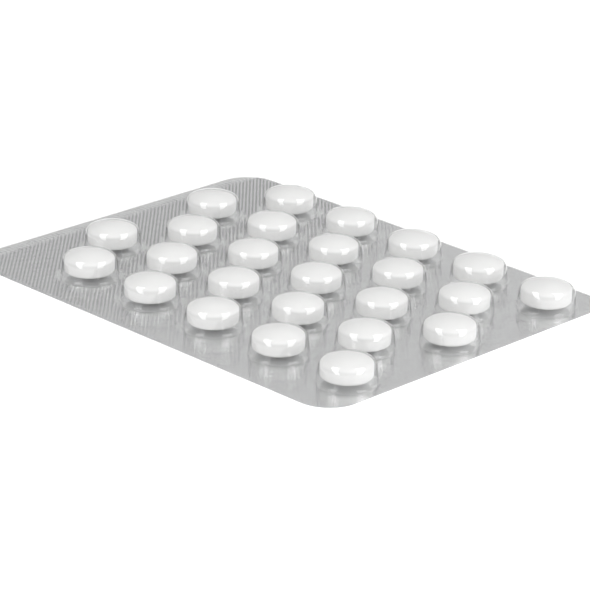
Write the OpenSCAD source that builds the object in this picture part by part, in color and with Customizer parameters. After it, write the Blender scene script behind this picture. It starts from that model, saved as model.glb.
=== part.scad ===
// Blister pack of round tablets. A clear film has staggered rows of formed
// pockets, a thin metal foil closes them from below, and each pocket holds
// one loose tablet. The pack lies on its foil, with the origin under the
// middle of the sheet and the rows running along Y.

/* [Layout] */
// Number of rows of pockets, side by side across the sheet
rows = 5; // [2:1:6]
// Number of pockets in each row
per_row = 5; // [2:1:8]
// Distance between pocket centres along a row
pocket_pitch = 16; // [15:0.5:20]
// Distance between neighbouring rows
row_pitch = 12.6; // [12:0.2:18]
// How far every second row is pushed along the sheet
stagger = 8; // [5:0.5:10]

/* [Sheet] */
// From the left edge to the first row of pockets
left_margin = 11.9; // [9:0.1:20]
// From the last row of pockets to the right edge
right_margin = 9.7; // [9:0.1:20]
// From the plain end of the sheet to the nearest pocket centre
end_margin = 7.3; // [7.2:0.1:20]
// From the last pocket centre to the end that has the blank strip
strip_margin = 13.1; // [7.2:0.1:30]
// Radius of the punched corners
corner_r = 6.2; // [2:0.2:9]
// Thickness of the lidding foil
foil_t = 0.03; // [0.02:0.005:0.05]
// Thickness of the flat film
film_t = 0.25; // [0.2:0.01:0.4]

/* [Pocket] */
// Thickness of the film where forming has stretched it
wall_t = 0.15; // [0.1:0.01:0.2]
// Room beside the tablet's band, level with the band's upper edge
side_gap = 0.3; // [0.2:0.05:0.6]
// Room between the tablet's dome and the pocket's roof
roof_gap = 0.16; // [0.12:0.02:0.4]
// Lean of the pocket wall, in degrees from upright
wall_draft = 5; // [1:1:9]
// Inside radius between the pocket's wall and its roof
shoulder_r = 1.3; // [0.5:0.05:1.4]
// Outside radius where the pocket's wall turns out into the flat film
foot_r = 0.4; // [0.2:0.05:0.8]

/* [Tablet] */
// Diameter of the tablet
tablet_d = 9; // [7:0.1:9.5]
// Height of the tablet's upright band
band_h = 2.44; // [1.6:0.02:3.6]
// Height of each domed face above or below the band
dome_h = 1.1; // [0.8:0.05:1.8]
// Radius of the blend between band and dome
tablet_edge_r = 0.6; // [0.4:0.05:0.8]
// Clearance between the tablet and the foil
seat_gap = 0.05; // [0.02:0.01:0.1]
// How far each tablet has slid off the middle of its pocket
tablet_slip = 0.1; // [0:0.05:0.15]
// Direction of that slide, in degrees from +X towards +Y
slip_angle = 135; // [0:5:355]

/* [Hidden] */
$fn = 96;
overcut = 1;

sheet_w = left_margin + (rows - 1) * row_pitch + right_margin;
sheet_l = end_margin + (per_row - 1) * pocket_pitch + stagger + strip_margin;

tablet_r = tablet_d / 2;
tablet_h = band_h + 2 * dome_h;
dome_r = (pow(tablet_r, 2) + pow(dome_h, 2)) / (2 * dome_h);
tablet_mid_z = foil_t + seat_gap + tablet_h / 2;

// The pocket's inside, measured from the film's underside. Its roof is
// concentric with the tablet's dome.
pocket_depth = seat_gap + tablet_h + roof_gap;
pocket_foot_r = tablet_r + side_gap + (seat_gap + dome_h + band_h) * tan(wall_draft);

function tablet_name(row, place) = str("tablet_", row + 1, "_", place + 1);

function pocket_x(row) = left_margin + row * row_pitch - sheet_w / 2;
function pocket_y(row, place) =
    end_margin + place * pocket_pitch + (row % 2) * stagger - sheet_l / 2;

// Centre of the arc of radius blend that touches a leaning wall and a domed
// top from inside. The wall starts at [foot, 0], the dome peaks at [0, top].
function blend_centre(foot, lean, top, dome, blend) =
    let (slope = tan(lean),
         start = foot - blend / cos(lean),
         dome_z = top - dome,
         reach = start * slope + dome_z,
         rest = pow(start, 2) + pow(dome_z, 2) - pow(dome - blend, 2),
         z = (reach + sqrt(pow(reach, 2) - (1 + pow(slope, 2)) * rest)) / (1 + pow(slope, 2)))
    [start - z * slope, z];

// Half section of a round body with a leaning wall, a blend and a domed top
module domed_section(foot, lean, top, dome, blend) {
    centre = blend_centre(foot, lean, top, dome, blend);
    dome_centre = [0, top - dome];
    on_wall = centre + blend * [cos(lean), sin(lean)];
    on_dome = dome_centre + (centre - dome_centre) * dome / (dome - blend);
    polygon([[0, 0], [foot, 0], on_wall, centre, on_dome, [0, on_dome.y]]);
    translate(centre) circle(blend);
    intersection() {
        translate(dome_centre) circle(dome);
        square([on_dome.x, top + overcut]);
    }
}

// Half section of the curve where a leaning wall turns out into a flat at
// height flat_z. The section is solid inwards and down to bottom_z.
module foot_section(foot, lean, flat_z, bottom_z, radius) {
    centre = [foot + radius / cos(lean) - (flat_z + radius) * tan(lean), flat_z + radius];
    on_wall = centre - radius * [cos(lean), sin(lean)];
    difference() {
        polygon([[0, bottom_z], [centre.x, bottom_z], centre, on_wall, [0, on_wall.y]]);
        translate(centre) circle(radius);
    }
}

// The space inside one pocket, open downwards
module pocket_inside() {
    rotate_extrude() {
        domed_section(pocket_foot_r, wall_draft, pocket_depth, dome_r + roof_gap, shoulder_r);
        foot_section(pocket_foot_r, wall_draft, 0, -overcut, foot_r + film_t);
    }
}

// The outer surface of one pocket, rooted halfway down in the flat film
module pocket_outside() {
    outer_foot_r = pocket_foot_r + wall_t / cos(wall_draft);
    rotate_extrude() {
        intersection() {
            domed_section(outer_foot_r, wall_draft, pocket_depth + wall_t,
                dome_r + roof_gap + wall_t, shoulder_r + wall_t);
            translate([0, film_t / 2]) square([outer_foot_r, pocket_depth + overcut]);
        }
        foot_section(outer_foot_r, wall_draft, film_t, film_t / 2, foot_r);
    }
}

module sheet_outline() {
    square([sheet_w - 2 * corner_r, sheet_l], center = true);
    square([sheet_w, sheet_l - 2 * corner_r], center = true);
    for (x = [-1, 1], y = [-1, 1])
        translate([x * (sheet_w / 2 - corner_r), y * (sheet_l / 2 - corner_r)])
            circle(corner_r);
}

module at_each_pocket() {
    for (row = [0 : rows - 1], place = [0 : per_row - 1])
        translate([pocket_x(row), pocket_y(row, place)]) children();
}

module blister_film() {
    color([0.86, 0.88, 0.9, 0.4])
        translate([0, 0, foil_t])
            difference() {
                union() {
                    linear_extrude(film_t) sheet_outline();
                    at_each_pocket() pocket_outside();
                }
                at_each_pocket() pocket_inside();
            }
}

module lidding_foil() {
    color([0.7, 0.71, 0.73])
        linear_extrude(foil_t) sheet_outline();
}

module tablet_half() {
    rotate_extrude()
        domed_section(tablet_r, 0, tablet_h / 2, dome_r, tablet_edge_r);
}

module tablet(row, place) {
    slip = tablet_slip * [cos(slip_angle), sin(slip_angle)];
    color([0.96, 0.96, 0.95])
        translate([pocket_x(row) + slip.x, pocket_y(row, place) + slip.y, tablet_mid_z]) {
            tablet_half();
            mirror([0, 0, 1]) tablet_half();
        }
}

lidding_foil();
blister_film();
for (row = [0 : rows - 1], place = [0 : per_row - 1])
    tablet(row, place);
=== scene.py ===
# Blister pack of white tablets on a pale floor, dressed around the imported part.
import math

import bpy
import numpy as np
from mathutils import Matrix, Vector
from mathutils.geometry import delaunay_2d_cdt


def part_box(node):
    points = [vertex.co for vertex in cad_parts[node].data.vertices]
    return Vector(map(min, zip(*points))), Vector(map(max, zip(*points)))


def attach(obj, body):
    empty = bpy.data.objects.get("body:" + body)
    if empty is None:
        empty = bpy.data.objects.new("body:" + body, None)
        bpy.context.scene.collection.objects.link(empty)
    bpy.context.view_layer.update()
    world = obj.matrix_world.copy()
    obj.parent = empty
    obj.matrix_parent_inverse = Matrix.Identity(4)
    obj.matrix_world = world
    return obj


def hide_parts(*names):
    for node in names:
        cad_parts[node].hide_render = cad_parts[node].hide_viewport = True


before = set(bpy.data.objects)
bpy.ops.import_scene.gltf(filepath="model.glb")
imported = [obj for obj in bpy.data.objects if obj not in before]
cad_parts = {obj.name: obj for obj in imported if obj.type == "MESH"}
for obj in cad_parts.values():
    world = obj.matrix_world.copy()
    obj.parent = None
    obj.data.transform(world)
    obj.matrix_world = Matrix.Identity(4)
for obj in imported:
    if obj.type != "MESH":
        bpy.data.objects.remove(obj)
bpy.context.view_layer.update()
scene = bpy.context.scene
MM = 0.001

# Sizes of the part, in millimetres
CORNER_R = 6.2
TABLET_R = 4.5
TABLET_BAND = 2.44
TABLET_DOME = 1.1
TABLET_EDGE_R = 0.6
SLIP = 0.1  # how far each tablet lies off the middle of its pocket
SLIP_ANGLE = math.radians(135)
FILM_T = 0.25
WALL_T = 0.15
SIDE_GAP = 0.3
ROOF_GAP = 0.16
DRAFT = math.radians(5)
SHOULDER_R = 1.3
FOOT_R = 0.4
SEAT_GAP = 0.05
KNURL_PITCH = 0.66
KNURL_RISE = 0.09
KNURL_FADE = 0.5  # width over which the knurl fades out beside a pocket
# Share of the knurl's rise at places along the sheet, where 1 is the end with the plain strip
KNURL_PLACES = (-1, -0.2, 0.5, 1)
KNURL_DEPTHS = (0.2, 0.35, 0.85, 1)
KNURL_MARGIN = 0.12  # least distance of its corners from the cut edge and the pockets
PLAIN_STRIP = 3.0  # smooth band at the end without tablets
EDGE_STEP = 0.33  # distance between points along the cut edge
BOND_GAP = 0.004  # keeps the film's underside just off the foil
RING = 48  # points round each pocket
TABLET_RING = 72  # points round each tablet
FOOT_STEPS = 6  # steps along the curve at a pocket's foot
POCKET_STEPS = 7  # steps along a pocket's shoulder, and again along its dome
TABLET_STEPS = 8  # steps along a tablet's edge, and again along its dome
RIM_SLACK = 0.02  # how far inside a pocket's foot a triangle of the flat may have its middle
WELD = 1e-6  # points of the flat nearer than this are one

foil_low, foil_high = (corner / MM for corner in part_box("lidding_foil"))
HALF_W, HALF_L = foil_high.x, foil_high.y
FOIL_T = foil_high.z - foil_low.z


def tablet_boxes():
    """Each tablet's name with its lowest and highest corner, in millimetres."""
    return {
        name: tuple(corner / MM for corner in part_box(name))
        for name in sorted(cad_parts)
        if name.startswith("tablet_")
    }


tablets = tablet_boxes()
slip = Vector((math.cos(SLIP_ANGLE), math.sin(SLIP_ANGLE))) * SLIP
pockets = [((low + high) / 2).to_2d() - slip for low, high in tablets.values()]
TABLET_H = TABLET_BAND + 2 * TABLET_DOME
DOME_R = (TABLET_R ** 2 + TABLET_DOME ** 2) / (2 * TABLET_DOME)


# Camera, at the photograph's angle
ELEVATION = math.radians(21.63)
AZIMUTH = math.radians(-135.54)
ROLL = math.radians(1.55)
DISTANCE = 530.0  # mm
TARGET = Vector((-3.34, -5.97, 0.1))  # mm
FOCAL_PX = 3000
FRAME_PX = 590
SENSOR = 36.0  # mm


def add_camera():
    back = Vector((
        math.cos(ELEVATION) * math.cos(AZIMUTH),
        math.cos(ELEVATION) * math.sin(AZIMUTH),
        math.sin(ELEVATION),
    ))
    level = Vector((-math.sin(AZIMUTH), math.cos(AZIMUTH), 0))
    above = back.cross(level)
    right = math.cos(ROLL) * level + math.sin(ROLL) * above
    up = -math.sin(ROLL) * level + math.cos(ROLL) * above
    data = bpy.data.cameras.new("camera")
    data.sensor_width = SENSOR
    data.lens = FOCAL_PX / FRAME_PX * SENSOR
    data.clip_start = 0.01
    camera = bpy.data.objects.new("camera", data)
    turn = Matrix((right, up, back)).transposed().to_4x4()
    camera.matrix_world = Matrix.Translation((TARGET + back * DISTANCE) * MM) @ turn
    scene.collection.objects.link(camera)
    scene.camera = camera
    return level, Vector((back.x, back.y, 0)).normalized()


# Level directions in the picture: to its right, and towards the camera
RIGHTWARD, FORWARD = add_camera()


# Node helpers
def new_material(name):
    material = bpy.data.materials.new(name)
    material.use_nodes = True
    tree = material.node_tree
    tree.nodes.clear()
    return material, tree


def node(tree, kind, **values):
    """A new node of this kind. Names of sockets are written with _ for each space."""
    made = tree.nodes.new(kind)
    for key, value in values.items():
        if hasattr(made, key) and key not in made.inputs:
            setattr(made, key, value)
        else:
            made.inputs[key.replace("_", " ")].default_value = value
    return made


def link(tree, source, target):
    tree.links.new(source, target)


# Floor, lamps and world
FLOOR_SIZE = 6  # metres
FLOOR_TONE = 0.88
FLOOR_GLOW = 0.3  # lifts the floor to white where it is seen or mirrored
FLOOR_DROP = 0.00002  # metres below the pack
# Ends of the softboxes, in metres to the picture's right, towards the camera and up
PANEL_FAR = (0.25, -0.22, 0.8)
PANEL_NEAR = (0.5, 0.75, 0.06)
PANELS = {"softbox_left": (-1, 0.25), "softbox_right": (1.15, 0.3)}  # side and width
PANEL_STRENGTH = 3.55  # brightness of a panel, where 1 is white


def floor_material():
    material, tree = new_material("floor_white")
    out = node(tree, "ShaderNodeOutputMaterial")
    matt = node(tree, "ShaderNodeBsdfDiffuse", Color=(FLOOR_TONE, FLOOR_TONE, FLOOR_TONE, 1))
    glow = node(tree, "ShaderNodeEmission", Color=(1, 1, 1, 1))
    path = node(tree, "ShaderNodeLightPath")
    either = node(tree, "ShaderNodeMath", operation="MAXIMUM")
    every = node(tree, "ShaderNodeMath", operation="MAXIMUM")
    lift = node(tree, "ShaderNodeMath", operation="MULTIPLY")
    lift.inputs[1].default_value = FLOOR_GLOW
    both = node(tree, "ShaderNodeAddShader")
    link(tree, path.outputs["Is Camera Ray"], either.inputs[0])
    link(tree, path.outputs["Is Glossy Ray"], either.inputs[1])
    link(tree, either.outputs[0], every.inputs[0])
    link(tree, path.outputs["Is Transmission Ray"], every.inputs[1])
    link(tree, every.outputs[0], lift.inputs[0])
    link(tree, lift.outputs[0], glow.inputs["Strength"])
    link(tree, matt.outputs[0], both.inputs[0])
    link(tree, glow.outputs[0], both.inputs[1])
    link(tree, both.outputs[0], out.inputs["Surface"])
    return material


def add_floor():
    bpy.ops.mesh.primitive_plane_add(size=FLOOR_SIZE, location=(0, 0, -FLOOR_DROP))
    floor = bpy.context.object
    floor.name = "floor"
    floor.data.materials.append(floor_material())


def staged(side, front, height):
    """A place in metres by the picture: to its right, towards the camera, and up."""
    return RIGHTWARD * side + FORWARD * front + Vector((0, 0, height))


def add_softbox(name, far, near, width, strength):
    """A long panel between its far end and its end near the camera, facing the pack."""
    data = bpy.data.lights.new(name, "AREA")
    data.shape = "RECTANGLE"
    data.size = width
    data.size_y = (near - far).length
    data.energy = strength * data.size * data.size_y * math.pi
    lamp = bpy.data.objects.new(name, data)
    place = (far + near) / 2
    along = (near - far).normalized()
    back = (place - along * place.dot(along)).normalized()
    turn = Matrix((along.cross(back), along, back)).transposed().to_4x4()
    lamp.matrix_world = Matrix.Translation(place) @ turn
    scene.collection.objects.link(lamp)


def graded(tree, ray, direction, low, high, start, end):
    """A strength from start to end, as the ray's share of a direction goes from low to high."""
    share = node(tree, "ShaderNodeVectorMath", operation="DOT_PRODUCT")
    share.inputs[1].default_value = direction
    scale = node(tree, "ShaderNodeMapRange")
    sockets = ("From Min", "From Max", "To Min", "To Max")
    for key, value in zip(sockets, (low, high, start, end)):
        scale.inputs[key].default_value = value
    link(tree, ray, share.inputs[0])
    link(tree, share.outputs["Value"], scale.inputs["Value"])
    return scale.outputs["Result"]


def set_world(horizon, zenith, near, left, step):
    """Pale surroundings that change with height.

    near and left are added towards the camera and at the picture's left. step is the half of
    a soft step up from left to right, which sets off the two sides of each knurl ridge.
    """
    world = bpy.data.worlds.new("studio")
    scene.world = world
    world.use_nodes = True
    tree = world.node_tree
    tree.nodes.clear()
    out = node(tree, "ShaderNodeOutputWorld")
    ray = node(tree, "ShaderNodeTexCoord").outputs["Generated"]
    sky = node(tree, "ShaderNodeBackground", Color=(1, 1, 1, 1))
    level = graded(tree, ray, (0, 0, 1), 0, 1, horizon, zenith)
    for change in (
        graded(tree, ray, FORWARD, 0, 1, 0, near),
        graded(tree, ray, -RIGHTWARD, 0.2, 1, 0, left),
        graded(tree, ray, RIGHTWARD, -0.2, 0.2, -step, step),
    ):
        both = node(tree, "ShaderNodeMath", operation="ADD")
        link(tree, level, both.inputs[0])
        link(tree, change, both.inputs[1])
        level = both.outputs[0]
    link(tree, level, sky.inputs["Strength"])
    link(tree, sky.outputs[0], out.inputs["Surface"])


add_floor()
for name, (side, width) in PANELS.items():
    far, near = (staged(x * side, y, z) for x, y, z in (PANEL_FAR, PANEL_NEAR))
    add_softbox(name, far, near, width, PANEL_STRENGTH)
set_world(horizon=1.02, zenith=0.14, near=-0.32, left=-0.35, step=0.025)
scene.view_settings.view_transform = "Standard"
scene.cycles.transparent_max_bounces = 32  # a low ray crosses several pockets


# Materials
FILM_IOR = 1.53
FACES_GLOSS = 1.7  # mirror light of both faces of the film, as a multiple of one face's


def noise(tree, vector, scale, detail):
    texture = node(tree, "ShaderNodeTexNoise", Scale=scale, Detail=detail)
    link(tree, vector, texture.inputs["Vector"])
    return texture.outputs["Fac"]


def tone_between(tree, factor, first, second):
    """A colour between two others."""
    mix = node(tree, "ShaderNodeMix", data_type="RGBA")
    mix.inputs[6].default_value = (*first, 1)
    mix.inputs[7].default_value = (*second, 1)
    link(tree, factor, mix.inputs["Factor"])
    return mix.outputs[2]


def rough_up(tree, shade, height, strength, distance):
    """Bumps a shader's surface by a height."""
    bump = node(tree, "ShaderNodeBump", Strength=strength, Distance=distance)
    link(tree, height, bump.inputs["Height"])
    link(tree, bump.outputs["Normal"], shade.inputs["Normal"])


def tablet_material():
    """White film coating, with a faint cloud of tone and a fine grain."""
    material, tree = new_material("tablet_white")
    out = node(tree, "ShaderNodeOutputMaterial")
    place = node(tree, "ShaderNodeTexCoord").outputs["Object"]
    shade = node(tree, "ShaderNodeBsdfPrincipled", Roughness=0.55)
    cloud = noise(tree, place, scale=900.0, detail=3.0)
    tone = tone_between(tree, cloud, (0.865, 0.865, 0.855), (0.895, 0.895, 0.89))
    link(tree, tone, shade.inputs["Base Color"])
    grain = noise(tree, place, scale=4200.0, detail=2.0)
    rough_up(tree, shade, grain, strength=0.25, distance=0.00002)
    link(tree, shade.outputs[0], out.inputs["Surface"])
    return material


def foil_material():
    """Satin metal, with the faint buckling and rolling grain of thin foil."""
    material, tree = new_material("foil_metal")
    out = node(tree, "ShaderNodeOutputMaterial")
    place = node(tree, "ShaderNodeTexCoord").outputs["Object"]
    shade = node(tree, "ShaderNodeBsdfPrincipled", Metallic=1.0)
    stretch = node(tree, "ShaderNodeMapping", Scale=(900, 90, 900))
    link(tree, place, stretch.inputs["Vector"])
    streak = noise(tree, stretch.outputs["Vector"], scale=1.0, detail=3.0)
    tone = tone_between(tree, streak, (0.83, 0.835, 0.84), (0.89, 0.895, 0.9))
    matt = node(tree, "ShaderNodeMapRange", To_Min=0.17, To_Max=0.25)
    link(tree, streak, matt.inputs["Value"])
    link(tree, tone, shade.inputs["Base Color"])
    link(tree, matt.outputs["Result"], shade.inputs["Roughness"])
    buckle = noise(tree, place, scale=260.0, detail=2.0)
    rough_up(tree, shade, buckle, strength=0.8, distance=0.0003)
    link(tree, shade.outputs[0], out.inputs["Surface"])
    return material


def film_gloss(tree):
    """Share of light that a thin clear sheet mirrors, all of it where the light enters."""
    side = node(tree, "ShaderNodeNewGeometry")
    enters = node(tree, "ShaderNodeMapRange", To_Min=FACES_GLOSS, To_Max=0)
    bend = node(tree, "ShaderNodeFresnel", IOR=FILM_IOR)
    scaled = node(tree, "ShaderNodeMath", operation="MULTIPLY", use_clamp=True)
    link(tree, side.outputs["Backfacing"], enters.inputs["Value"])
    link(tree, bend.outputs[0], scaled.inputs[0])
    link(tree, enters.outputs["Result"], scaled.inputs[1])
    return scaled.outputs[0]


def film_material():
    """Clear film with a faint haze."""
    material, tree = new_material("film_clear")
    out = node(tree, "ShaderNodeOutputMaterial")
    clear = node(tree, "ShaderNodeBsdfTransparent", Color=(0.99, 0.99, 0.99, 1))
    milk = node(tree, "ShaderNodeBsdfDiffuse", Color=(0.9, 0.9, 0.9, 1))
    haze = node(tree, "ShaderNodeMixShader", Fac=0.03)
    gloss = node(tree, "ShaderNodeBsdfGlossy", Roughness=0.035)
    mix = node(tree, "ShaderNodeMixShader")
    link(tree, clear.outputs[0], haze.inputs[1])
    link(tree, milk.outputs[0], haze.inputs[2])
    link(tree, film_gloss(tree), mix.inputs["Fac"])
    link(tree, haze.outputs[0], mix.inputs[1])
    link(tree, gloss.outputs[0], mix.inputs[2])
    link(tree, mix.outputs[0], out.inputs["Surface"])
    return material


def add_mesh(name, points, faces, flat_faces, material):
    """A mesh object from points in millimetres, smooth but for its first flat_faces faces."""
    mesh = bpy.data.meshes.new(name)
    mesh.from_pydata((np.asarray(points) * MM).tolist(), [], faces)
    mesh.polygons.foreach_set("use_smooth", [i >= flat_faces for i in range(len(faces))])
    mesh.materials.append(material)
    mesh.update()
    obj = bpy.data.objects.new(name, mesh)
    scene.collection.objects.link(obj)
    return obj


# Profiles of the turned shapes, as (radius, height) from the foot to the middle of the top
def on_circle(centre, radius, turn):
    return centre[0] + radius * math.cos(turn), centre[1] + radius * math.sin(turn)


def arc(centre, radius, start, end, steps):
    return [on_circle(centre, radius, turn) for turn in np.linspace(start, end, steps + 1)]


def domed_profile(foot, lean, top, dome, blend, steps):
    """A wall that leans in from (foot, 0), a blend, and a dome up to (0, top)."""
    slope = math.tan(lean)
    start = foot - blend / math.cos(lean)
    dome_z = top - dome
    reach = start * slope + dome_z
    rest = start ** 2 + dome_z ** 2 - (dome - blend) ** 2
    z = (reach + math.sqrt(reach ** 2 - (1 + slope ** 2) * rest)) / (1 + slope ** 2)
    centre = (start - z * slope, z)
    meet = math.atan2(z - dome_z, centre[0])
    shoulder = arc(centre, blend, lean, meet, steps)
    return shoulder + arc((0, dome_z), dome, meet, math.pi / 2, steps)[1:]


def foot_profile(foot, lean, flat_z, radius, steps):
    """The curve from the flat, at flat_z, up into a wall that leans in from (foot, 0)."""
    centre = (
        foot + radius / math.cos(lean) - (flat_z + radius) * math.tan(lean),
        flat_z + radius,
    )
    return arc(centre, radius, 1.5 * math.pi, math.pi + lean, steps)


band_top = SEAT_GAP + TABLET_DOME + TABLET_BAND
pocket_foot = TABLET_R + SIDE_GAP + band_top * math.tan(DRAFT)
pocket_depth = SEAT_GAP + TABLET_H + ROOF_GAP
outer_foot = pocket_foot + WALL_T / math.cos(DRAFT)
inner_profile = foot_profile(pocket_foot, DRAFT, 0, FOOT_R + FILM_T, FOOT_STEPS)
inner_profile += domed_profile(
    pocket_foot, DRAFT, pocket_depth, DOME_R + ROOF_GAP, SHOULDER_R, POCKET_STEPS)
outer_profile = foot_profile(outer_foot, DRAFT, FILM_T, FOOT_R, FOOT_STEPS)
outer_profile += domed_profile(
    outer_foot, DRAFT, pocket_depth + WALL_T, DOME_R + ROOF_GAP + WALL_T,
    SHOULDER_R + WALL_T, POCKET_STEPS)
FOOT_END = inner_profile[0][0]  # radius at which the flat film begins


# Flat of the sheet, and its knurl
def pocket_distance(places):
    """Distance of each point from the foot of the nearest pocket, below 0 inside it."""
    centres = np.array([tuple(p) for p in pockets])
    gaps = np.linalg.norm(places[:, None, :] - centres[None, :, :], axis=2)
    return gaps.min(axis=1) - FOOT_END


def knurl(places):
    """Height of the knurl at points: ridges on both diagonals, a pit in each square."""
    across = ((places[:, 0] + places[:, 1]) / math.sqrt(2) / KNURL_PITCH) % 1
    along = ((places[:, 1] - places[:, 0]) / math.sqrt(2) / KNURL_PITCH) % 1
    height = KNURL_RISE * np.maximum(abs(2 * across - 1), abs(2 * along - 1))
    fade = np.clip(pocket_distance(places) / KNURL_FADE, 0, 1)
    fade *= np.interp(places[:, 1] / HALF_L, KNURL_PLACES, KNURL_DEPTHS)
    fade[places[:, 1] > HALF_L - PLAIN_STRIP] = 0
    return height * fade


def edge_inset(places):
    """Distance of each point from the sheet's cut edge."""
    out = np.maximum(abs(places) - (np.array([HALF_W, HALF_L]) - CORNER_R), 0)
    return CORNER_R - np.where(out.min(axis=1) > 0, np.hypot(*out.T), out.max(axis=1))


def outline_points():
    """Points round the cut edge of the sheet, counter-clockwise."""
    points = []
    corners = [(1, 1, 0), (-1, 1, 90), (-1, -1, 180), (1, -1, 270)]
    arc_steps = round(CORNER_R * math.pi / 2 / EDGE_STEP)
    arcs = []
    for sx, sy, start in corners:
        centre = (sx * (HALF_W - CORNER_R), sy * (HALF_L - CORNER_R))
        turns = [math.radians(angle) for angle in (start, start + 90)]
        arcs.append(arc(centre, CORNER_R, *turns, arc_steps))
    for this, following in zip(arcs, arcs[1:] + arcs[:1]):
        points += this[:-1]
        first, last = Vector(this[-1]), Vector(following[0])
        steps = round((last - first).length / EDGE_STEP)
        points += [tuple(first.lerp(last, step / steps)) for step in range(steps)]
    return points


def lattice():
    """Corners and middles of the knurl's squares, each with its place in the grid."""
    reach = int((HALF_W + HALF_L) / math.sqrt(2) / KNURL_PITCH) + 1
    steps = np.arange(-reach, reach + 1)
    grid = np.array([(i, j) for i in steps for j in steps])
    found = []
    for half in (0, 0.5):
        u, v = ((grid + half) * KNURL_PITCH / math.sqrt(2)).T
        places = np.column_stack([u - v, u + v])
        kept = (edge_inset(places) > KNURL_MARGIN) & (pocket_distance(places) > KNURL_MARGIN)
        kept &= places[:, 1] < HALF_L - PLAIN_STRIP
        found.append((grid[kept], places[kept]))
    return found


def flat_triangles():
    """The sheet's flat: points, triangles, the cut edge and the ring round each pocket."""
    edge = outline_points()
    points = list(edge)
    ties = [(i, (i + 1) % len(edge)) for i in range(len(edge))]
    rings = []
    for centre in pockets:
        start = len(points)
        points += arc(centre, FOOT_END, 0, 2 * math.pi, RING)[:-1]
        ties += [(start + i, start + (i + 1) % RING) for i in range(RING)]
        rings.append(range(start, start + RING))
    (corners, corner_places), (_, middle_places) = lattice()
    index = {tuple(key): len(points) + i for i, key in enumerate(corners)}
    points += [tuple(p) for p in corner_places] + [tuple(p) for p in middle_places]
    for (i, j), start in index.items():
        for other in ((i + 1, j), (i, j + 1)):
            if other in index:
                ties.append((start, index[other]))
    found = delaunay_2d_cdt([Vector(p) for p in points], ties, [], 0, WELD)
    first = {old: new for new, olds in enumerate(found[3]) for old in olds}
    places = np.array([tuple(v) for v in found[0]])
    triangles = [tuple(f) for f in found[2]]
    rings = [[first[i] for i in ring] for ring in rings]
    return places, triangles, [first[i] for i in range(len(edge))], rings


def closed_sheet(places, triangles, edge, low, high):
    """Points and faces of a sheet between two heights, with a wall along its cut edge."""
    count = len(places)
    points = np.vstack([np.column_stack([places, height]) for height in (low, high)])
    faces = [f[::-1] for f in triangles]
    faces += [tuple(i + count for i in f) for f in triangles]
    for start, end in zip(edge, edge[1:] + edge[:1]):
        faces.append((start, end, end + count, start + count))
    return points, faces


def turned(points, faces, ring, centre, base, profile, upward):
    """Adds a turned surface, from a ring of points to the middle of its top."""
    turns = [2 * math.pi * i / len(ring) for i in range(len(ring))]
    rows = [ring]
    for radius, height in profile[:-1]:
        start = len(points)
        points += [(*on_circle(centre, radius, turn), base + height) for turn in turns]
        rows.append(list(range(start, start + len(ring))))
    points.append((centre[0], centre[1], base + profile[-1][1]))
    added = []
    for low, high in zip(rows, rows[1:]):
        for i in range(len(ring)):
            k = (i + 1) % len(ring)
            added.append((low[i], low[k], high[k], high[i]))
    for i in range(len(ring)):
        added.append((rows[-1][i], rows[-1][(i + 1) % len(ring)], len(points) - 1))
    faces += added if upward else [f[::-1] for f in added]


flat = flat_triangles()


def add_foil(material):
    places, triangles, edge, _ = flat
    rise = knurl(places)
    points, faces = closed_sheet(places, triangles, edge, rise, rise + FOIL_T)
    foil = add_mesh("foil_sheet", points, faces, len(faces), material)
    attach(foil, "root")
    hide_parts("lidding_foil")


def add_film(material):
    places, triangles, edge, rings = flat
    centres = places[np.array(triangles)].mean(axis=1)
    around = pocket_distance(centres) > -RIM_SLACK
    kept = [f for f, keep in zip(triangles, around) if keep]
    rise = knurl(places) + FOIL_T + BOND_GAP
    points, faces = closed_sheet(places, kept, edge, rise, rise + FILM_T)
    count = len(places)
    points = [tuple(p) for p in points]
    flat_faces = len(faces)
    for centre, ring in zip(pockets, rings):
        turned(points, faces, ring, centre, FOIL_T, inner_profile[1:], False)
        high_ring = [i + count for i in ring]
        turned(points, faces, high_ring, centre, FOIL_T, outer_profile, True)
    film = add_mesh("clear_film", points, faces, flat_faces, material)
    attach(film, "root")
    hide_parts("blister_film")


def tablet_mesh(material):
    """A round tablet about its own middle, with a dome on each face."""
    half = domed_profile(TABLET_R, 0, TABLET_H / 2, DOME_R, TABLET_EDGE_R, TABLET_STEPS)
    points = arc((0, 0), TABLET_R, 0, 2 * math.pi, TABLET_RING)[:-1]
    points = [(x, y, 0) for x, y in points]
    ring = list(range(TABLET_RING))
    faces = []
    turned(points, faces, ring, (0, 0), 0, half, True)
    turned(points, faces, ring, (0, 0), 0, [(r, -z) for r, z in half], False)
    return add_mesh("tablet", points, faces, 0, material)


def add_tablets(material):
    model = tablet_mesh(material)
    for name, (low, high) in tablets.items():
        piece = bpy.data.objects.new(name.replace("tablet", "pill"), model.data)
        piece.location = (low + high) / 2 * MM
        scene.collection.objects.link(piece)
        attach(piece, "root")
        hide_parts(name)
    bpy.data.objects.remove(model)


add_foil(foil_material())
add_film(film_material())
add_tablets(tablet_material())
